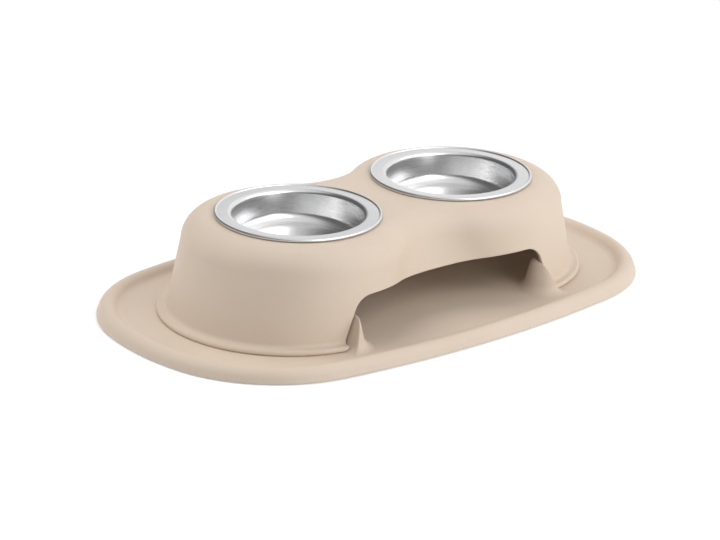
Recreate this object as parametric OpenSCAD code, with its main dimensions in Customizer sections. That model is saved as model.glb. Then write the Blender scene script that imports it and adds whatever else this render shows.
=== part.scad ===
// Double pet feeder: a drip mat, a two-tower stand and two steel bowls, with rubber feet and rim pads.
// The origin is on the ground under the middle of the mat. X runs along the length, Z points up.

/* [Mat] */
// Distance from the stand's flange to the mat's edge at each end
mat_end_margin = 45; // [36:1:60]
// Distance from the stand's flange to the mat's edge along each long side
mat_side_margin = 42.5; // [36:0.5:56]
// Half of the distance between the centres of the two corner arcs at one end
mat_corner_y = 21; // [16:1:26]
// How far the middle of a long side bows out past the corner arcs
mat_side_bow = 10; // [6:1:16]
// How far the middle of an end bows out past the corner arcs
mat_end_bow = 2; // [1:0.5:4]
// Thickness of the mat's moulded wall
mat_wall = 3; // [2:0.1:4]
// Height of the rolled rim above the mat's floor
rim_rise = 6; // [4:0.5:8]
// Radius of the rolled rim's crest and of the sweep down to the floor
rim_radius = 8.5; // [7:0.1:9.5]
// Gap between the rim's lower edge and the ground
rim_lift = 1; // [0.5:0.1:1.6]

/* [Locating bosses] */
// Height of each boss above the mat's floor
boss_height = 26; // [18:1:30]
// Radius of a boss at its top, before its edge is rounded
boss_radius = 12; // [9:0.5:14]
// Draft of a boss's side, in degrees
boss_draft = 14; // [8:1:16]
// Radius of a boss's top edge
boss_edge = 4; // [3.5:0.5:6]
// Radius of the sweep from a boss's side to the mat's floor
boss_flare = 9; // [2:0.5:10]
// Gap between a boss and the leg that it locates
boss_clearance = 2; // [1.5:0.1:3]
// How far a boss's axis lies inside the arch's foot, along the length
boss_arch_offset = 4; // [1:0.5:6]
// How far a boss's axis lies inside the face of the leg, along the width
boss_leg_offset = 5.8; // [5:0.1:9]

/* [Stand] */
// Height of the stand by itself
stand_height = 80.9; // [76:0.1:90]
// Distance from the middle to a tower's axis, at the shoulder
tower_x_top = 88; // [84:0.5:90]
// Distance from the middle to a tower's axis, at the stand's base
tower_x_base = 98.5; // [94:0.5:101]
// Radius of a tower's wall at the shoulder
tower_radius_top = 95; // [91:0.5:96]
// Radius of a tower's wall at the stand's base
tower_radius_base = 99; // [96:0.5:101]
// Radius of the rounded shoulder
shoulder_radius = 22; // [18:0.5:24]
// How much narrower the waist is than the towers on each side, at the shoulder
waist_inset_top = 26; // [22:0.5:30]
// How much narrower the waist is than the towers on each side, at the base
waist_inset_base = 15; // [12:0.5:20]
// Wall thickness of the stand
stand_wall = 3; // [2:0.1:4]
// How far the foot flange stands out from the wall
flange_width = 7.5; // [5.5:0.5:9]
// Thickness of the foot flange
flange_thickness = 4.4; // [3:0.2:6]
// Radius of the hollow between the flange and the wall
flange_fillet = 3; // [1.5:0.5:4]

/* [Arch] */
// Height of the arch at its shoulders, above the stand's base
arch_height = 40.5; // [34:0.5:46]
// How much lower the arch is in the middle
arch_dip = 4.5; // [0:0.5:7]
// Half of the arch's width at the stand's base, before the flare
arch_half_width = 117; // [115:1:120]
// Lean of the arch's sides, in degrees
arch_lean = 23.7; // [16:0.1:28]
// Radius of the arch's upper corners
arch_corner = 18; // [12:1:22]
// Radius that rounds off the foot of each leg
arch_flare = 10; // [5:1:14]

/* [Bowls] */
// Distance between the two bowls' centres
bowl_spacing = 171; // [166:1:176]
// Radius of the rim, over its rolled edge
rim_outer = 70; // [69:0.2:71]
// Radius of the wall's inside where it meets the rim's lip
mouth_radius = 55.1; // [52:0.1:56]
// Depth inside the bowl, from the rolled edge's top
bowl_depth = 27.5; // [22:0.5:44]
// Thickness of the steel
sheet = 0.9; // [0.6:0.1:1]
// Radius of the rolled edge
bead_radius = 1.4; // [1.3:0.1:1.6]
// How far the flat ring lies below the rolled edge's top
ring_drop = 0.9; // [0.7:0.1:1]
// Radius between the flat ring and the wall
lip_radius = 3.5; // [2:0.1:5]
// Radius between the wall and the floor
bowl_fillet = 9; // [5:0.5:12]
// Lean of the bowl's wall, in degrees
bowl_taper = 8; // [3:1:12]

/* [Bowl seats] */
// Gap between the bowl's wall and its opening in the stand
seat_clearance = 2.4; // [1.2:0.1:3]
// Radius of a rim pad
pad_radius = 3; // [2:0.1:3.2]
// How far a pad stands proud of the stand's top
pad_proud = 1.3; // [1.2:0.1:1.8]
// Depth of a pad's socket
pad_socket = 0.8; // [0.5:0.1:1.2]

/* [Feet] */
// Radius of a rubber foot
foot_radius = 9; // [6:0.5:11]
// Height of a foot
foot_height = 2; // [1.7:0.1:3]
// Radius of a foot's lower edge
foot_edge = 0.7; // [0.3:0.1:1.2]
// Distance of a corner foot's centre from the mat's corner edge
corner_foot_inset = 38; // [35:1:44]
// Distance of a side foot from the middle, along the length
side_foot_x = 60; // [40:1:80]
// Distance of a side foot's centre from the mat's long edge
side_foot_inset = 37; // [34:1:42]

/* [Hidden] */
$fn = 180;

// Overrun of every cut past the face that it opens
overrun = 10;
// Number of straight steps along each rounded stretch of a profile
arc_steps = 8;
// A quarter or so of the straight steps along each arc of the mat's and the stand's outlines
outline_steps = 6;
// Number of straight steps along the arch's wavy top, from the middle to one side
wave_steps = 10;
// Number of straight steps round a boss
boss_steps = 40;

// Heights above the ground
floor_under = foot_height;
floor_top = floor_under + mat_wall;
stand_top = floor_top + stand_height;
rim_top = stand_top + pad_proud + sheet + ring_drop;

// The mat follows the stand's foot. Its long sides and ends are shallow arcs that meet the corner arcs smoothly
mat_half_length = tower_x_base + tower_radius_base + flange_width + mat_end_margin;
mat_half_width = tower_radius_base + flange_width + mat_side_margin;
mat_corner_radius = mat_half_width - mat_side_bow - mat_corner_y;
mat_corner_x = mat_half_length - mat_end_bow - mat_corner_radius;
side_gap = mat_half_width - mat_corner_y;
end_gap = mat_half_length - mat_corner_x;
side_arc = (pow(mat_corner_x, 2) + pow(side_gap, 2) - pow(mat_corner_radius, 2))
    / (2 * (side_gap - mat_corner_radius));
end_arc = (pow(mat_corner_y, 2) + pow(end_gap, 2) - pow(mat_corner_radius, 2))
    / (2 * (end_gap - mat_corner_radius));
side_centre = side_arc - mat_half_width;
end_centre = mat_half_length - end_arc;
side_angle = atan2(mat_corner_y + side_centre, mat_corner_x);
end_angle = atan2(mat_corner_y, mat_corner_x - end_centre);

// The rolled rim's crest and the sweep inside it are two arcs of one radius that touch
crest_inset = rim_radius + mat_wall / 3;
crest_z = floor_top + rim_rise - rim_radius;
sweep_z = floor_top + rim_radius;
sweep_inset = crest_inset + sqrt(pow(2 * rim_radius, 2) - pow(sweep_z - crest_z, 2));
sweep_angle = atan2(sweep_z - crest_z, sweep_inset - crest_inset);

// Where the crest's arc starts on the outer side, in degrees above the level of its centre
rim_lean = 15;

// Height above the stand's base where the wall ends and the rounded shoulder starts
shoulder_z = stand_height - shoulder_radius;

// A boss stands in each foot of the arch
boss_x = arch_half_width - boss_arch_offset;
boss_y = tower_radius_base - boss_leg_offset;

// The arch's corner arc touches its leaning side
arch_corner_z = arch_height - arch_corner;
arch_corner_x = arch_half_width - arch_corner_z * tan(arch_lean) - arch_corner / cos(arch_lean);
flare_x = arch_half_width - arch_flare * tan(arch_lean) + arch_flare / cos(arch_lean);

// The bowl's lip ends where the flat ring starts, and its wall leans in to the floor's rounding
lip_x = mouth_radius + lip_radius;
bead_x = rim_outer - bead_radius;
bead_top_angle = 180 - asin((bead_radius - ring_drop) / bead_radius);
bead_under_angle = -180 + asin((ring_drop + sheet - bead_radius) / bead_radius);
wall_top_z = ring_drop + lip_radius;
fillet_z = bowl_depth - bowl_fillet;
fillet_x = mouth_radius - (fillet_z - wall_top_z) * tan(bowl_taper) - bowl_fillet / cos(bowl_taper);
seat_radius = mouth_radius + sheet + seat_clearance;
pad_reach = (seat_radius + bead_x - bead_radius) / 2;

// Points along an arc about a centre, from one angle to another
function arc(centre, radius, from, to, steps = arc_steps) = [
    for (i = [0 : steps])
        let (a = from + (to - from) * i / steps)
        [centre.x + radius * cos(a), centre.y + radius * sin(a)]
];

// Places a closed outline of flat points at one height
function ring(outline, height) = [for (p = outline) [p.x, p.y, height]];

// A closed solid through a stack of rings that have as many points each, with a flat face on both ends
module skin(rings) {
    count = len(rings[0]);
    last = len(rings) - 1;
    points = [for (r = rings) each r];
    sides = [
        for (k = [0 : last - 1], i = [0 : count - 1])
            let (j = (i + 1) % count, a = k * count, b = a + count)
            [a + i, b + i, b + j, a + j]
    ];
    bottom = [for (i = [0 : count - 1]) i];
    top = [for (i = [count - 1 : -1 : 0]) last * count + i];
    polyhedron(points = points, faces = concat([bottom], sides, [top]), convexity = 6);
}

// Points along an arc without its last one, so that arcs join end to end
function open_arc(centre, radius, from, to, steps) =
    [for (i = [0 : steps - 1]) arc(centre, radius, from, to, steps)[i]];

// The mat's outline, moved inwards by the inset
function mat_outline(inset) =
    let (
        corner = mat_corner_radius - inset,
        x = mat_corner_x,
        y = mat_corner_y,
        s = outline_steps
    )
    concat(
        open_arc([end_centre, 0], end_arc - inset, -end_angle, end_angle, s),
        open_arc([x, y], corner, end_angle, side_angle, 2 * s),
        open_arc([0, -side_centre], side_arc - inset, side_angle, 180 - side_angle, 2 * s),
        open_arc([-x, y], corner, 180 - side_angle, 180 - end_angle, 2 * s),
        open_arc([-end_centre, 0], end_arc - inset, 180 - end_angle, 180 + end_angle, s),
        open_arc([-x, -y], corner, 180 + end_angle, 180 + side_angle, 2 * s),
        open_arc([0, side_centre], side_arc - inset, 180 + side_angle, 360 - side_angle, 2 * s),
        open_arc([x, -y], corner, 360 - side_angle, 360 - end_angle, 2 * s));

// A stack of round rings for a boss: each point of the profile is a height above the mat's floor
// and how much wider than the boss's top the ring there is
module boss_skin(profile) {
    skin([
        for (p = profile)
            ring(open_arc([boss_x, -boss_y], boss_radius + p.x, 0, 360, boss_steps), floor_top + p.y)
    ]);
}

// The four bosses, one in each foot of the arches
module all_bosses() {
    for (side = [0, 1], end = [0, 1])
        mirror([side, 0, 0])
            mirror([0, end, 0])
                children();
}

// One boss at the front of the right leg, with a drafted side, a rounded top and a sweep at its foot
module boss() {
    flare_grow = (boss_height - boss_flare) * tan(boss_draft) + boss_flare / cos(boss_draft);
    top_grow = boss_edge * (tan(boss_draft) - 1 / cos(boss_draft));
    boss_skin(concat(
        [[flare_grow, -mat_wall / 2]],
        arc([flare_grow, boss_flare], boss_flare, 270, 180 + boss_draft, 4),
        arc([top_grow, boss_height - boss_edge], boss_edge, boss_draft, 90, 4)));
}

// The hollow that leaves the boss a wall as thick as the mat's
module boss_hollow() {
    boss_skin([
        for (height = [-mat_wall - overrun, boss_height - mat_wall])
            [(boss_height - height) * tan(boss_draft) - mat_wall / cos(boss_draft), height]
    ]);
}

// The room for the bosses: the arches' opening and the inside of the legs, both narrowed by the gap
module boss_room(gap) {
    translate([0, 0, floor_top])
        arch_cut(gap);
    translate([0, 0, floor_top])
        skin([
            for (height = [-overrun, 0, shoulder_z])
                ring(stand_outline(stand_wall + gap, height), height)
        ]);
}

module mat() {
    channel = rim_radius - mat_wall;
    section = concat(
        arc([crest_inset, crest_z], channel, 0, 180, arc_steps),
        [[crest_inset - channel, rim_lift], [0, rim_lift]],
        arc([crest_inset, crest_z], rim_radius, 180 - rim_lean, sweep_angle),
        arc([sweep_inset, sweep_z], rim_radius, 180 + sweep_angle, 270, arc_steps / 2));
    under = [[crest_inset + channel, floor_under]];
    color([0.85, 0.79, 0.73])
        difference() {
            union() {
                skin([for (p = concat(under, section)) ring(mat_outline(p.x), p.y)]);
                intersection() {
                    all_bosses() boss();
                    boss_room(boss_clearance);
                }
            }
            intersection() {
                all_bosses() boss_hollow();
                boss_room(boss_clearance + mat_wall);
            }
        }
}

// The stand's outline at one height, moved inwards by the inset. Two tower arcs are joined by two
// concave waist arcs that touch them. The towers' centres and the waist follow the height.
function stand_outline(inset, height) =
    let (
        s = min(max(height, 0) / shoulder_z, 1),
        x = tower_x_base + (tower_x_top - tower_x_base) * s,
        radius = tower_radius_base + (tower_radius_top - tower_radius_base) * s - inset,
        waist = waist_inset_base + (waist_inset_top - waist_inset_base) * s,
        centre = (pow(x, 2) - pow(waist, 2)) / (2 * waist),
        hollow = centre + waist - radius,
        turn = atan2(centre, x)
    )
    concat(
        open_arc([x, 0], radius, turn - 180, 180 - turn, 5 * outline_steps),
        open_arc([0, centre], hollow, -turn, turn - 180, 2 * outline_steps),
        open_arc([-x, 0], radius, turn, 360 - turn, 5 * outline_steps),
        open_arc([0, -centre], hollow, 180 - turn, turn, 2 * outline_steps));

// The arches' opening through the stand, with each side moved in by the gap
module arch_cut(gap) {
    corner_x = arch_corner_x - gap;
    foot_x = flare_x - gap;
    top_edge = [
        for (i = [0 : wave_steps])
            let (s = i / wave_steps)
            [s * corner_x, arch_height - arch_dip * (1 + cos(180 * s)) / 2]
    ];
    half = concat(
        top_edge,
        arc([corner_x, arch_corner_z], arch_corner, 90, arch_lean),
        arc([foot_x, arch_flare], arch_flare, 180 + arch_lean, 270),
        [[foot_x, -overrun]]);
    mirrored = [for (i = [len(half) - 1 : -1 : 1]) [-half[i].x, half[i].y]];
    rotate([90, 0, 0])
        linear_extrude(height = 2 * mat_half_width, center = true)
            polygon(concat(half, mirrored));
}

// The shoulder's profile as [inset, height], at a depth inside the outer face
function shoulder_side(depth, from, to) =
    arc([shoulder_radius, shoulder_z], shoulder_radius - depth, from, to);

module stand() {
    edge = flange_thickness / 2;
    hollow_z = flange_thickness + flange_fillet;
    shell = concat(
        shoulder_side(stand_wall, 90, 180),
        [[stand_wall, 0]],
        arc([edge - flange_width, edge], edge, 270, 90, 6),
        arc([-flange_fillet, hollow_z], flange_fillet, 270, 360, 4),
        shoulder_side(0, 180, 90));
    color([0.85, 0.79, 0.73])
        translate([0, 0, floor_top])
            difference() {
                skin([for (p = shell) ring(stand_outline(p.x, p.y), p.y)]);
                arch_cut(0);
                for (side = [-1, 1])
                    translate([side * bowl_spacing / 2, 0, stand_height]) {
                        cylinder(r = seat_radius, h = 2 * overrun, center = true);
                        for (i = [0 : 3])
                            rotate([0, 0, 45 + 90 * i])
                                translate([pad_reach, 0, -pad_socket])
                                    cylinder(r = pad_radius, h = overrun, $fn = 48);
                    }
            }
}

// One pressed bowl, with its rolled edge's top at the height of the rims
module bowl(side) {
    inner = concat(
        [[0, -bowl_depth]],
        arc([fillet_x, -fillet_z], bowl_fillet, 270, 360 - bowl_taper),
        arc([lip_x, -wall_top_z], lip_radius, 180 - bowl_taper, 90),
        arc([bead_x, -bead_radius], bead_radius, bead_top_angle, bead_under_angle, 2 * arc_steps));
    outer = concat(
        arc([lip_x, -wall_top_z], lip_radius - sheet, 90, 180 - bowl_taper),
        arc([fillet_x, -fillet_z], bowl_fillet + sheet, 360 - bowl_taper, 270),
        [[0, -bowl_depth - sheet]]);
    color([0.78, 0.78, 0.8])
        translate([side * bowl_spacing / 2, 0, rim_top])
            rotate_extrude()
                polygon(concat(inner, outer));
}

// Rim pad number i of four, round the bowl on the side given
module rim_pad(side, i) {
    color([0.2, 0.2, 0.2])
        translate([side * bowl_spacing / 2, 0, stand_top - pad_socket])
            rotate([0, 0, 45 + 90 * i])
                translate([pad_reach, 0, 0])
                    cylinder(r = pad_radius, h = pad_socket + pad_proud, $fn = 48);
}

// Foot number i of eight: four at the corners, then four along the long sides
module mat_foot(i) {
    at_side = i >= 4;
    reach = mat_corner_radius - corner_foot_inset;
    x = at_side ? side_foot_x : mat_corner_x + reach * cos(45);
    y = at_side ? mat_half_width - side_foot_inset : mat_corner_y + reach * sin(45);
    sx = i % 2 == 0 ? -1 : 1;
    sy = floor(i / 2) % 2 == 0 ? -1 : 1;
    color([0.25, 0.24, 0.23])
        translate([sx * x, sy * y, 0])
            rotate_extrude($fn = 64)
                polygon(concat(
                    [[0, 0]],
                    arc([foot_radius - foot_edge, foot_edge], foot_edge, 270, 360, 4),
                    [[foot_radius, foot_height], [0, foot_height]]));
}

mat();
stand();
bowl(-1);  // bowl_left
bowl(1);  // bowl_right
mat_foot(0);  // mat_foot_1
mat_foot(1);  // mat_foot_2
mat_foot(2);  // mat_foot_3
mat_foot(3);  // mat_foot_4
mat_foot(4);  // mat_foot_5
mat_foot(5);  // mat_foot_6
mat_foot(6);  // mat_foot_7
mat_foot(7);  // mat_foot_8
rim_pad(-1, 0);  // left_rim_pad_1
rim_pad(-1, 1);  // left_rim_pad_2
rim_pad(-1, 2);  // left_rim_pad_3
rim_pad(-1, 3);  // left_rim_pad_4
rim_pad(1, 0);  // right_rim_pad_1
rim_pad(1, 1);  // right_rim_pad_2
rim_pad(1, 2);  // right_rim_pad_3
rim_pad(1, 3);  // right_rim_pad_4
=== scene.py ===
import math

import bmesh
import bpy
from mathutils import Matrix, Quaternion, Vector


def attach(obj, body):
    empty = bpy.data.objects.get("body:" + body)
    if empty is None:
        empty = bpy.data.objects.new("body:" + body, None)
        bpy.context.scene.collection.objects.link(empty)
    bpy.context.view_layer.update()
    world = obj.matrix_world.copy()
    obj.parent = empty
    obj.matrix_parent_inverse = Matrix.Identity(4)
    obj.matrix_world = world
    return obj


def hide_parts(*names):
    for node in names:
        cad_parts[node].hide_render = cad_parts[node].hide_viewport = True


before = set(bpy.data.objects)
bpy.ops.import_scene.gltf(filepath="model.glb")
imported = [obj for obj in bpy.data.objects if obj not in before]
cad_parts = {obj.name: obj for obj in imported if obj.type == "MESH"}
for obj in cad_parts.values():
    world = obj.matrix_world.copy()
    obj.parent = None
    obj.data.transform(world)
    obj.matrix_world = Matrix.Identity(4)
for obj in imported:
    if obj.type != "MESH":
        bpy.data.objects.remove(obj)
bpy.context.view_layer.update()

# The camera
# A long lens looks down on the feeder from the front left, turned a little, so that the right end
# stands higher in the picture.

mm = 0.001
look_at = (-0.0156, -0.0006, 0.0212)
look_distance = 2.641
look_azimuth = -41.6
look_elevation = 20.57
look_roll = 1.83
look_lens = 155.8


def toward(azimuth, elevation):
    """The way to an azimuth, 0 in front and 90 to the right, at an elevation, both in degrees."""
    across, up = math.radians(azimuth), math.radians(elevation)
    return Vector((math.sin(across) * math.cos(up), -math.cos(across) * math.cos(up), math.sin(up)))


bpy.ops.object.select_all(action="DESELECT")
bpy.ops.object.camera_add(
    location=Vector(look_at) + look_distance * toward(look_azimuth, look_elevation),
    rotation=(math.radians(90 - look_elevation), 0, math.radians(look_azimuth)),
)
camera = bpy.context.object
camera.name = "camera"
camera.data.lens = look_lens
camera.data.sensor_width = 36
camera.data.clip_start = 0.05
camera.data.clip_end = 50
level = camera.rotation_euler.to_quaternion()
camera.rotation_mode = "QUATERNION"
camera.rotation_quaternion = level @ Quaternion((0, 0, 1), math.radians(look_roll))
bpy.context.scene.camera = camera
bpy.context.scene.view_settings.view_transform = "Standard"

# The drip mat
# A wide tray moulded in one soft-touch plastic. Its rim rolls over in a broad smooth crest and sweeps
# down to a flat floor, and it is open underneath.

mat_half_length = 250 * mm
mat_half_width = 149 * mm
mat_corner_x = 130 * mm
mat_corner_y = 21 * mm
mat_corner_radius = 118 * mm
mat_wall = 3 * mm
rim_rise = 6 * mm
rim_radius = 8.5 * mm
rim_lift = 1 * mm
rim_lean = 15
floor_under = 2 * mm
floor_top = floor_under + mat_wall
weld = 0.01 * mm


def new_mesh(name):
    """Starts an empty mesh and opens it for editing."""
    bpy.ops.object.select_all(action="DESELECT")
    bpy.ops.mesh.primitive_plane_add()
    made = bpy.context.object
    made.name = made.data.name = name
    bpy.ops.object.mode_set(mode="EDIT")
    bpy.ops.mesh.select_mode(type="VERT")
    bpy.ops.mesh.delete(type="VERT")
    return made


def pen_down(at, mark=0):
    """Puts down one vertex. It and all that is drawn on from it carry the mark."""
    bpy.ops.mesh.select_all(action="DESELECT")
    bpy.ops.mesh.primitive_plane_add(size=mm, location=at)
    bpy.ops.mesh.merge(type="CENTER")
    edited = bmesh.from_edit_mesh(bpy.context.object.data)
    marks = edited.verts.layers.int.get("mark") or edited.verts.layers.int.new("mark")
    for vertex in edited.verts:
        if vertex.select:
            vertex[marks] = mark


def pen_arc(centre, degrees, steps, axis=(0, 0, 1)):
    """Draws on from the last vertex along an arc, turning about the axis."""
    bpy.ops.mesh.spin(steps=steps, angle=-math.radians(degrees), center=centre, axis=axis)


def pen_line(step):
    """Draws on from the last vertex along a straight line."""
    bpy.ops.mesh.extrude_region_move(TRANSFORM_OT_translate={"value": step})


def select_marked(*wanted):
    """Selects only what carries one of the marks."""
    bpy.ops.mesh.select_all(action="DESELECT")
    edited = bmesh.from_edit_mesh(bpy.context.object.data)
    marks = edited.verts.layers.int["mark"]
    for vertex in edited.verts:
        vertex.select_set(vertex[marks] in wanted)
    edited.select_flush(True)
    bmesh.update_edit_mesh(bpy.context.object.data)


def face_outwards():
    """Turns the faces of the edited skin outwards and closes the mesh for editing."""
    bpy.ops.mesh.select_all(action="SELECT")
    bpy.ops.mesh.normals_make_consistent(inside=False)
    bpy.ops.object.mode_set(mode="OBJECT")


def bridge_outlines(count):
    """Joins the closed outlines marked 0, 1, 2 and on into one skin, and closes both ends.

    Two neighbours never lie at one height, because the bridge between them would twist.
    """
    bpy.ops.mesh.select_all(action="SELECT")
    bpy.ops.mesh.remove_doubles(threshold=weld)
    for mark in range(count - 1):
        select_marked(mark, mark + 1)
        bpy.ops.mesh.bridge_edge_loops()
    for mark in (0, count - 1):
        select_marked(mark)
        bpy.ops.mesh.edge_face_add()
    face_outwards()


def arc_points(centre, radius, start, end, steps):
    """Points of a profile along an arc."""
    turns = [math.radians(start + (end - start) * i / steps) for i in range(steps + 1)]
    return [(centre[0] + radius * math.cos(turn), centre[1] + radius * math.sin(turn)) for turn in turns]


def pick(target):
    """Makes one piece the active one and selects nothing else."""
    bpy.ops.object.select_all(action="DESELECT")
    bpy.context.view_layer.objects.active = target
    target.select_set(True)


def combine(target, tool, operation):
    """Adds, cuts or keeps what two solids share, and removes the tool."""
    pick(target)
    cut = target.modifiers.new("cut", "BOOLEAN")
    cut.operation = operation
    cut.solver = "EXACT"
    cut.object = tool
    bpy.ops.object.modifier_apply(modifier="cut")
    bpy.data.objects.remove(tool)


# The outline's eight arcs touch without a corner, so the places of the long sides' and the ends'
# centres follow from the corners.
side_gap = mat_half_width - mat_corner_y
end_gap = mat_half_length - mat_corner_x
side_arc = (mat_corner_x**2 + side_gap**2 - mat_corner_radius**2) / (2 * (side_gap - mat_corner_radius))
end_arc = (mat_corner_y**2 + end_gap**2 - mat_corner_radius**2) / (2 * (end_gap - mat_corner_radius))
side_centre = side_arc - mat_half_width
end_centre = mat_half_length - end_arc
side_angle = math.degrees(math.atan2(mat_corner_y + side_centre, mat_corner_x))
end_angle = math.degrees(math.atan2(mat_corner_y, mat_corner_x - end_centre))
corner_turn = side_angle - end_angle

# The crest and the sweep are arcs of one radius that touch. The profile goes from the underside of
# the floor round the open channel, over the crest and down to the top of the floor.
crest_inset = rim_radius + mat_wall / 3
crest_z = floor_top + rim_rise - rim_radius
sweep_z = floor_top + rim_radius
sweep_inset = crest_inset + math.sqrt((2 * rim_radius) ** 2 - (sweep_z - crest_z) ** 2)
sweep_angle = math.degrees(math.atan2(sweep_z - crest_z, sweep_inset - crest_inset))
channel_step = 0.05 * mm
rim_profile = [
    (crest_inset + rim_radius - mat_wall, floor_under),
    *arc_points((crest_inset, crest_z), rim_radius - mat_wall, 0, 180, 12),
    (crest_inset - rim_radius + mat_wall, rim_lift + channel_step),
    (0, rim_lift),
    *arc_points((crest_inset, crest_z), rim_radius, 180 - rim_lean, sweep_angle, 14),
    *arc_points((sweep_inset, sweep_z), rim_radius, 180 + sweep_angle, 270, 8)[1:],
]

drip_mat = new_mesh("drip_mat")
for mark, (inset, z) in enumerate(rim_profile):
    turn = math.radians(-end_angle)
    reach = end_arc - inset
    pen_down((end_centre + reach * math.cos(turn), reach * math.sin(turn), z), mark)
    pen_arc((end_centre, 0, z), 2 * end_angle, 16)
    pen_arc((mat_corner_x, mat_corner_y, z), corner_turn, 24)
    pen_arc((0, -side_centre, z), 180 - 2 * side_angle, 24)
    pen_arc((-mat_corner_x, mat_corner_y, z), corner_turn, 24)
    pen_arc((-end_centre, 0, z), 2 * end_angle, 16)
    pen_arc((-mat_corner_x, -mat_corner_y, z), corner_turn, 24)
    pen_arc((0, side_centre, z), 180 - 2 * side_angle, 24)
    pen_arc((mat_corner_x, -mat_corner_y, z), corner_turn, 24)
bridge_outlines(len(rim_profile))


class Field:
    """A value that varies over a surface. Python's operators on it add Math nodes."""

    def __init__(self, finish, socket):
        self.finish = finish
        self.socket = socket

    def math(self, operation, *values):
        return self.finish.add("ShaderNodeMath", {"operation": operation}, dict(enumerate(values)))

    def __add__(self, other):
        return self.math("ADD", self, other)

    def __mul__(self, other):
        return self.math("MULTIPLY", self, other)

    def __pow__(self, other):
        return self.math("POWER", self, other)

    __radd__ = __add__
    __rmul__ = __mul__


class Finish:
    """One material under the hand: its fixed shader values, and methods that add nodes."""

    def __init__(self, name, values):
        self.material = bpy.data.materials.new(name)
        self.material.use_nodes = True
        self.tree = self.material.node_tree
        self.shader = self.tree.nodes["Principled BSDF"]
        for socket, value in values.items():
            self.shader.inputs[socket].default_value = value

    def add(self, kind, settings=None, inputs=None, output=0):
        """Adds a node, with its settings first and then its sockets."""
        node = self.tree.nodes.new(kind)
        for name, value in (settings or {}).items():
            setattr(node, name, value)
        for name, value in (inputs or {}).items():
            self.plug(node.inputs[name], value)
        return Field(self, node.outputs[output])

    def plug(self, socket, value):
        """Gives a socket a Field or a fixed value."""
        if isinstance(value, Field):
            self.tree.links.new(value.socket, socket)
        else:
            socket.default_value = value

    def surface(self, **values):
        """Feeds the shader's own sockets."""
        for name, value in values.items():
            self.plug(self.shader.inputs[name.replace("_", " ")], value)

    def place(self):
        """Where a point lies on the object, in metres."""
        return self.add("ShaderNodeTexCoord", output=3)

    def noise(self, place, scale, detail=2, roughness=0.5):
        """Smooth noise round 0.5, with features of about 1 / scale metres."""
        inputs = {"Vector": place, "Scale": scale, "Detail": detail, "Roughness": roughness}
        return self.add("ShaderNodeTexNoise", None, inputs)

    def blend(self, share, colour, other):
        """Goes from one colour to the other as the share goes from 0 to 1."""
        inputs = {0: share, 6: colour, 7: other}
        return self.add("ShaderNodeMix", {"data_type": "RGBA"}, inputs, output=2)

    def bump(self, height, strength, depth):
        """Dents the surface by a height of 0 to 1, where 1 stands for the depth."""
        dent = {"Strength": strength, "Distance": depth, "Height": height}
        self.surface(Normal=self.add("ShaderNodeBump", None, dent))


def moulded_plastic(name, tan, pale):
    """Soft-touch plastic with a fine moulded grain and a faint unevenness of colour and sheen."""
    finish = Finish(name, {"Specular IOR Level": 0.42})
    place = finish.place()
    clouds = finish.noise(place, scale=14, detail=3)
    grain = finish.noise(place, scale=1500)
    specks = finish.noise(place, scale=420, detail=4, roughness=0.7)
    finish.surface(
        Base_Color=finish.blend(clouds * 0.7 + specks * 0.3, tan, pale),
        Roughness=0.46 + 0.1 * clouds + 0.06 * grain,
    )
    finish.bump(grain * 0.6 + specks * 0.4, strength=0.22, depth=0.12 * mm)
    return finish.material


tan_plastic = moulded_plastic("tan_plastic", (0.66, 0.545, 0.44, 1), (0.74, 0.62, 0.51, 1))

# The stand
# One moulded shell of the same plastic: two round towers joined by a waist, with a rounded shoulder, a
# flange round the foot and an arch through each long side. It lifts straight off the mat.

stand_height = 80.9 * mm
tower_x_base = 98.5 * mm
tower_x_top = 88 * mm
tower_radius_base = 99 * mm
tower_radius_top = 95 * mm
waist_inset_base = 15 * mm
waist_inset_top = 26 * mm
shoulder_radius = 22 * mm
shoulder_z = stand_height - shoulder_radius
stand_wall = 3 * mm
flange_width = 7.5 * mm
flange_thickness = 4.4 * mm
flange_edge = flange_thickness / 2
flange_fillet = 3 * mm
wall_rings = (14 * mm, 21 * mm, 28 * mm, 34 * mm, 38 * mm, 42 * mm, 46 * mm, 52 * mm)
edge_round = 0.5 * mm
smooth_angle = 40

arch_height = 40.5 * mm
arch_dip = 4.5 * mm
arch_half_width = 117 * mm
arch_lean = 23.7
arch_corner = 18 * mm
arch_flare = 10 * mm
arch_run = 260 * mm

bowl_spacing = 171 * mm
seat_radius = 58.4 * mm
pad_radius = 3 * mm
pad_reach = 62.8 * mm
pad_socket = 0.8 * mm
pad_turns = (45, 135, 225, 315)


def draw_stand_outline(inset, height, mark):
    """Draws the stand's outline at one height: two tower arcs and two hollow waist arcs between them."""
    share = min(max(height, 0) / shoulder_z, 1)
    x = tower_x_base + (tower_x_top - tower_x_base) * share
    radius = tower_radius_base + (tower_radius_top - tower_radius_base) * share - inset
    waist = waist_inset_base + (waist_inset_top - waist_inset_base) * share
    centre = (x**2 - waist**2) / (2 * waist)
    turn = math.degrees(math.atan2(centre, x))
    z = floor_top + height
    start = math.radians(turn - 180)
    pen_down((x + radius * math.cos(start), radius * math.sin(start), z), mark)
    pen_arc((x, 0, z), 360 - 2 * turn, 64)
    pen_arc((0, centre, z), 2 * turn - 180, 28)
    pen_arc((-x, 0, z), 360 - 2 * turn, 64)
    pen_arc((0, -centre, z), 2 * turn - 180, 28)


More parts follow.
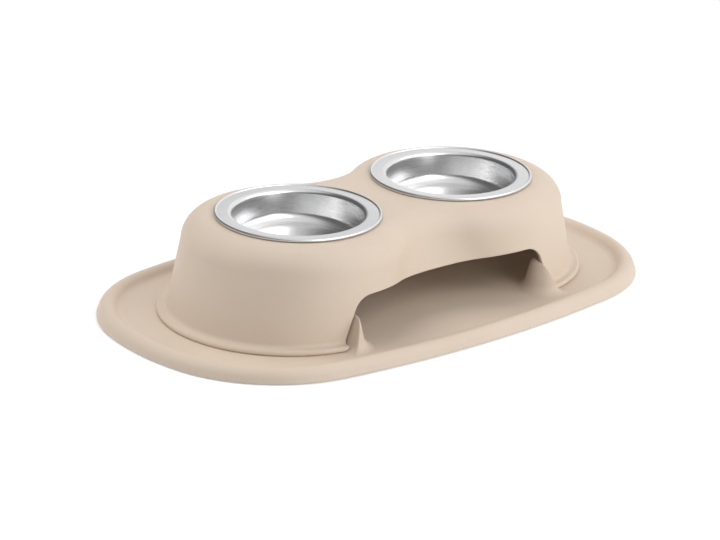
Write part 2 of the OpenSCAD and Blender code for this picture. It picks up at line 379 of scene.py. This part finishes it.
def arch_bar(gap):
    """A bar with the arches' outline, each side moved in by the gap, that runs through both arches."""
    lean = math.radians(arch_lean)
    corner_z = arch_height - arch_corner
    corner_x = arch_half_width - corner_z * math.tan(lean) - arch_corner / math.cos(lean) - gap
    foot_x = arch_half_width - arch_flare * math.tan(lean) + arch_flare / math.cos(lean) - gap
    side_run = foot_x - corner_x - (arch_flare + arch_corner) * math.cos(lean)
    side_rise = corner_z - arch_flare + (arch_corner + arch_flare) * math.sin(lean)
    front = -arch_run / 2
    below = 30 * mm
    steps = 40
    turns = [math.pi * i / steps for i in range(-steps, steps + 1)]
    top = [arch_height - arch_dip * (1 + math.cos(turn)) / 2 for turn in turns]
    made = new_mesh("arch_bar")
    pen_down((-foot_x, front, floor_top - below))
    pen_line((0, 0, below))
    pen_arc((-foot_x, front, floor_top + arch_flare), arch_lean - 90, 10, (0, 1, 0))
    pen_line((side_run, 0, side_rise))
    pen_arc((-corner_x, front, floor_top + corner_z), 90 - arch_lean, 14, (0, 1, 0))
    for low, high in zip(top, top[1:]):
        pen_line((corner_x / steps, 0, high - low))
    pen_arc((corner_x, front, floor_top + corner_z), 90 - arch_lean, 14, (0, 1, 0))
    pen_line((side_run, 0, -side_rise))
    pen_arc((foot_x, front, floor_top + arch_flare), arch_lean - 90, 10, (0, 1, 0))
    pen_line((0, 0, -below))
    bpy.ops.mesh.select_all(action="SELECT")
    bpy.ops.mesh.edge_face_add()
    bpy.ops.mesh.extrude_region_move(TRANSFORM_OT_translate={"value": (0, arch_run, 0)})
    face_outwards()
    return made


def round_sharp_edges(target):
    """Breaks the sharp edges of a moulded piece with a small round."""
    pick(target)
    bpy.ops.object.mode_set(mode="EDIT")
    bpy.ops.mesh.select_all(action="SELECT")
    bpy.ops.mesh.remove_doubles(threshold=edge_round / 2)
    bpy.ops.mesh.dissolve_degenerate(threshold=edge_round / 4)
    bpy.ops.object.mode_set(mode="OBJECT")
    bevel = target.modifiers.new("round_off", "BEVEL")
    bevel.width = edge_round
    bevel.segments = 2
    bevel.limit_method = "ANGLE"
    bevel.angle_limit = math.radians(smooth_angle)
    bevel.use_clamp_overlap = False
    bpy.ops.object.modifier_apply(modifier="round_off")


def shade_smooth(target):
    """Cuts large faces into triangles and shades all but the sharp edges smooth and even."""
    pick(target)
    bpy.ops.object.mode_set(mode="EDIT")
    bpy.ops.mesh.select_all(action="DESELECT")
    bpy.ops.mesh.select_face_by_sides(number=4, type="GREATER")
    bpy.ops.mesh.quads_convert_to_tris(quad_method="BEAUTY", ngon_method="BEAUTY")
    bpy.ops.object.mode_set(mode="OBJECT")
    bpy.ops.object.shade_smooth_by_angle(angle=math.radians(smooth_angle))
    even = target.modifiers.new("even_shading", "WEIGHTED_NORMAL")
    even.keep_sharp = True
    bpy.ops.object.modifier_apply(modifier="even_shading")


# The profile goes down the inside from the opening, round the flange, up the wall and over the
# shoulder. The rings on the wall keep its faces small where the arch is cut.
shell_profile = [
    *arc_points((shoulder_radius, shoulder_z), shoulder_radius - stand_wall, 90, 180, 8),
    (stand_wall, 0),
    *arc_points((flange_edge - flange_width, flange_edge), flange_edge, 262, 90, 8),
    *arc_points((-flange_fillet, flange_thickness + flange_fillet), flange_fillet, 275, 360, 5),
    *((0, ring) for ring in wall_rings),
    *arc_points((shoulder_radius, shoulder_z), shoulder_radius, 180, 90, 14),
]
stand = new_mesh("stand_shell")
for mark, (inset, height) in enumerate(shell_profile):
    draw_stand_outline(inset, height, mark)
bridge_outlines(len(shell_profile))
combine(stand, arch_bar(0), "DIFFERENCE")
round_sharp_edges(stand)
top_z = floor_top + stand_height
for seat_x in (-bowl_spacing / 2, bowl_spacing / 2):
    bpy.ops.mesh.primitive_cylinder_add(
        vertices=128, radius=seat_radius, depth=4 * stand_wall, location=(seat_x, 0, top_z)
    )
    combine(stand, bpy.context.object, "DIFFERENCE")
    for turn in pad_turns:
        out = pad_reach * math.cos(math.radians(turn))
        back = pad_reach * math.sin(math.radians(turn))
        bpy.ops.mesh.primitive_cylinder_add(
            vertices=32, radius=pad_radius, depth=2 * pad_socket, location=(seat_x + out, back, top_z)
        )
        combine(stand, bpy.context.object, "DIFFERENCE")
shade_smooth(stand)
stand.data.materials.append(tan_plastic)
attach(stand, "stand")
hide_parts("stand")

# The locating bosses
# Four hollow bumps moulded up from the mat's floor. One stands in each foot of the arches, with a
# narrow gap to the leg, and keeps the stand in its place.

boss_height = 26 * mm
boss_radius = 12 * mm
boss_draft = 14
boss_edge = 4 * mm
boss_flare = 9 * mm
boss_gap = 2 * mm
boss_x = 113 * mm
boss_y = 93.2 * mm
boss_grid = 0.7 * mm


def spin_profile(profile, x, y, z, steps, mark=0):
    """Draws a profile of (radius, height) points above a place and spins it into a round skin."""
    pen_down((x, y, z + profile[0][1]), mark)
    for (x0, z0), (x1, z1) in zip(profile, profile[1:]):
        pen_line((x1 - x0, 0, z1 - z0))
    select_marked(mark)
    bpy.ops.mesh.spin(steps=steps, angle=math.tau, center=(x, y, 0), axis=(0, 0, 1))
    bpy.ops.mesh.select_all(action="SELECT")
    bpy.ops.mesh.remove_doubles(threshold=weld / 10)


def four_bosses(shrink, flare):
    """Four round bumps, one in each foot of the arches, smaller all round by the shrink."""
    draft = math.radians(boss_draft)
    slope = math.tan(draft)
    edge = max(boss_edge - shrink, mm)
    high = boss_height - shrink
    side = boss_radius - shrink / math.cos(draft)
    low = -mat_wall / 2 if flare else -3 * mat_wall
    profile = [(0, low)]
    if flare:
        foot = side + (boss_height - flare) * slope + flare / math.cos(draft)
        profile += [(foot, low)] + arc_points((foot, flare), flare, 270, 180 + boss_draft, 8)
    else:
        profile += [(side + (boss_height - low) * slope, low)]
    round_x = side + edge * (slope - 1 / math.cos(draft))
    profile += arc_points((round_x, high - edge), edge, boss_draft, 90, 8) + [(0, high)]
    made = new_mesh("bosses")
    for mark, (side_x, side_y) in enumerate(((-1, -1), (1, -1), (1, 1), (-1, 1))):
        spin_profile(profile, side_x * boss_x, side_y * boss_y, floor_top, 64, mark)
    face_outwards()
    return made


def boss_room(gap):
    """What the stand leaves for the bosses: the arches and the inside of the legs, less the gap."""
    heights = (-20 * mm, 0, shoulder_z)
    made = new_mesh("boss_room")
    for mark, height in enumerate(heights):
        draw_stand_outline(stand_wall + gap, height, mark)
    bridge_outlines(len(heights))
    combine(made, arch_bar(gap), "UNION")
    return made


bosses = four_bosses(0, boss_flare)
combine(bosses, boss_room(boss_gap), "INTERSECT")
even_mesh = bosses.modifiers.new("even_mesh", "REMESH")
even_mesh.voxel_size = boss_grid
bpy.ops.object.modifier_apply(modifier="even_mesh")
rounding = bosses.modifiers.new("rounding", "SMOOTH")
rounding.factor = 0.5
rounding.iterations = 5
bpy.ops.object.modifier_apply(modifier="rounding")
hollows = four_bosses(mat_wall, 0)
combine(hollows, boss_room(boss_gap + mat_wall), "INTERSECT")
combine(drip_mat, bosses, "UNION")
combine(drip_mat, hollows, "DIFFERENCE")
round_sharp_edges(drip_mat)
shade_smooth(drip_mat)
drip_mat.data.materials.append(tan_plastic)
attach(drip_mat, "base")
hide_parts("mat")

# The bowls
# Each is pressed and spun from one disc of stainless steel: a shallow pan with a rounded floor, a flat
# ring round its mouth and an edge rolled under. The rings rest on the rim pads.

rim_top = floor_top + stand_height + 3.1 * mm
rim_outer = 70 * mm
mouth_radius = 55.1 * mm
bowl_depth = 27.5 * mm
sheet = 0.9 * mm
bead_radius = 1.4 * mm
ring_drop = 0.9 * mm
lip_radius = 3.5 * mm
bowl_fillet = 9 * mm
bowl_taper = 8
steel_dark = (0.77, 0.77, 0.775, 1)
steel_light = (0.84, 0.84, 0.845, 1)

lip_x = mouth_radius + lip_radius
bead_x = rim_outer - bead_radius
bead_top_angle = 180 - math.degrees(math.asin((bead_radius - ring_drop) / bead_radius))
bead_under_angle = math.degrees(math.asin((ring_drop + sheet - bead_radius) / bead_radius)) - 180
wall_top_z = ring_drop + lip_radius
fillet_z = bowl_depth - bowl_fillet
taper = math.radians(bowl_taper)
fillet_x = mouth_radius - (fillet_z - wall_top_z) * math.tan(taper) - bowl_fillet / math.cos(taper)
bowl_profile = [
    (0, -bowl_depth),
    (fillet_x / 2, -bowl_depth),
    *arc_points((fillet_x, -fillet_z), bowl_fillet, 270, 360 - bowl_taper, 14),
    *arc_points((lip_x, -wall_top_z), lip_radius, 180 - bowl_taper, 90, 12),
    *arc_points((bead_x, -bead_radius), bead_radius, bead_top_angle, bead_under_angle, 24),
    *arc_points((lip_x, -wall_top_z), lip_radius - sheet, 90, 180 - bowl_taper, 12),
    *arc_points((fillet_x, -fillet_z), bowl_fillet + sheet, 360 - bowl_taper, 270, 14),
    (fillet_x / 2, -bowl_depth - sheet),
    (0, -bowl_depth - sheet),
]


def spun_steel(name, centre_x):
    """Stainless steel with the fine rings that spinning leaves and a few faint cloudy patches."""
    finish = Finish(name, {"Metallic": 1.0, "Anisotropic": 0.45})
    place = finish.place()
    centred = finish.add("ShaderNodeMapping", None, {"Vector": place, "Location": (-centre_x, 0, 0)})
    apart = finish.add("ShaderNodeSeparateXYZ", None, {"Vector": centred})
    x, y, z = (Field(finish, socket) for socket in apart.socket.node.outputs)
    radius = (x * x + y * y) ** 0.5
    along = finish.add("ShaderNodeCombineXYZ", None, {"X": radius, "Y": z})
    rings = finish.noise(along, scale=2600, roughness=0.6)
    clouds = finish.noise(place, scale=30)
    finish.surface(
        Base_Color=finish.blend(clouds, steel_dark, steel_light),
        Roughness=0.2 + 0.1 * rings + 0.05 * clouds,
    )
    finish.bump(rings, strength=0.12, depth=0.04 * mm)
    return finish.material


for side, centre_x in (("left", -bowl_spacing / 2), ("right", bowl_spacing / 2)):
    bowl = new_mesh(side + "_bowl_pan")
    spin_profile(bowl_profile, centre_x, 0, rim_top, 160)
    face_outwards()
    bpy.ops.object.shade_smooth_by_angle(angle=math.radians(smooth_angle))
    bowl.data.materials.append(spun_steel(side + "_bowl_pan_steel", centre_x))
    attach(bowl, side + "_bowl")
    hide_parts("bowl_" + side)

# The feet and rim pads
# Eight round rubber feet are set under the mat, and four small pads round each opening of the stand
# carry a bowl's ring and keep it quiet.


def rubber(name, dark, light):
    """Matte rubber with a fine dusty grain."""
    finish = Finish(name, {"Specular IOR Level": 0.3})
    place = finish.place()
    dust = finish.noise(place, scale=260, detail=4, roughness=0.65)
    grain = finish.noise(place, scale=1800)
    finish.surface(Base_Color=finish.blend(dust, dark, light), Roughness=0.72 + 0.16 * dust)
    finish.bump(grain, strength=0.3, depth=0.1 * mm)
    return finish.material


foot_rubber = rubber("foot_rubber", (0.035, 0.032, 0.03, 1), (0.075, 0.07, 0.065, 1))
pad_rubber = rubber("pad_rubber", (0.02, 0.02, 0.02, 1), (0.05, 0.05, 0.05, 1))
for name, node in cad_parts.items():
    if name.startswith("mat_foot"):
        node.data.materials[0] = foot_rubber
    elif "rim_pad" in name:
        node.data.materials[0] = pad_rubber

# The floor and the light
# The feeder stands on a plain white floor that runs out of sight. Soft lamps stand all round, and the
# pale room fills the shade. What the steel mirrors is white to the right and above, and darker elsewhere.

floor_width = 12
floor_grey = 0.8
floor_glow = 0.3
room_light = 0.35
dark_side = 0.12
ceiling_share = 0.75
lamp_distance = 2.0
white = (1, 1, 1, 1)
black = (0, 0, 0, 1)


def grey(level):
    """A colour without a tint."""
    return (level, level, level, 1)


def mirror_rays(finish):
    """1 for the rays that metal sends on."""
    return finish.add("ShaderNodeLightPath", output=3)


def background_rays(finish):
    """1 for the rays that see the background: the camera's, and those that metal or glass sends on."""
    seen = finish.add("ShaderNodeLightPath")
    through = finish.add("ShaderNodeLightPath", output=6)
    return seen + mirror_rays(finish) + through


bpy.ops.object.select_all(action="DESELECT")
bpy.ops.mesh.primitive_plane_add(size=floor_width, location=(0, 0, 0))
floor = bpy.context.object
floor.name = "floor"
floor_finish = Finish(
    "white_floor",
    {
        "Base Color": grey(floor_grey),
        "Roughness": 0.9,
        "Specular IOR Level": 0.1,
        "Emission Strength": 1.0,
    },
)
floor_finish.surface(
    Emission_Color=floor_finish.blend(background_rays(floor_finish), black, grey(floor_glow))
)
floor.data.materials.append(floor_finish.material)


class Room(Finish):
    """The room's own nodes, added to in the same way as a finish's."""

    def __init__(self):
        world = bpy.data.worlds.new("studio")
        bpy.context.scene.world = world
        world.use_nodes = True
        self.tree = world.node_tree
        self.shader = self.tree.nodes["Background"]

    def bright_part(self, azimuth, elevation, edge, full):
        """1 round one direction and 0 away from it. Edge and full are angles from that direction."""
        facing = self.add(
            "ShaderNodeVectorMath",
            {"operation": "DOT_PRODUCT"},
            {0: self.add("ShaderNodeTexCoord"), 1: toward(azimuth, elevation)},
            output=1,
        )
        low, high = math.cos(math.radians(edge)), math.cos(math.radians(full))
        return self.add(
            "ShaderNodeMapRange",
            {"interpolation_type": "SMOOTHSTEP"},
            {"Value": facing, "From Min": low, "From Max": high},
        )


room = Room()
bright_wall = room.bright_part(azimuth=75, elevation=0, edge=95, full=55)
bright_ceiling = room.bright_part(azimuth=20, elevation=60, edge=62, full=45)
mirrored_room = room.blend(bright_wall + ceiling_share * bright_ceiling, grey(dark_side), white)
background = room.blend(mirror_rays(room), white, mirrored_room)
room.surface(Color=room.blend(background_rays(room), grey(room_light), background))


def soft_lamp(name, azimuth, elevation, size, power, mirrored):
    """A square soft lamp that faces the feeder. The steel shows it only where it is mirrored."""
    away = toward(azimuth, elevation)
    bpy.ops.object.light_add(type="AREA", location=lamp_distance * away)
    lamp = bpy.context.object
    lamp.name = name
    lamp.data.size = size
    lamp.data.energy = power
    lamp.visible_glossy = mirrored
    lamp.rotation_mode = "QUATERNION"
    lamp.rotation_quaternion = away.to_track_quat("Z", "Y")


soft_lamp("front_lamp", 0, 41, size=1.1, power=9.2, mirrored=True)
soft_lamp("low_front_lamp", 0, 13, size=0.7, power=3.4, mirrored=True)
soft_lamp("right_lamp", 45, 41, size=1.1, power=4.2, mirrored=True)
soft_lamp("low_right_lamp", 45, 13, size=0.7, power=8.8, mirrored=False)
soft_lamp("low_back_right_lamp", 135, 12, size=0.7, power=4.0, mirrored=False)
soft_lamp("high_back_lamp", 180, 69, size=1.0, power=12.2, mirrored=False)
soft_lamp("back_left_lamp", 225, 41, size=1.1, power=6.4, mirrored=False)
soft_lamp("low_back_left_lamp", 225, 12, size=0.7, power=6.0, mirrored=False)
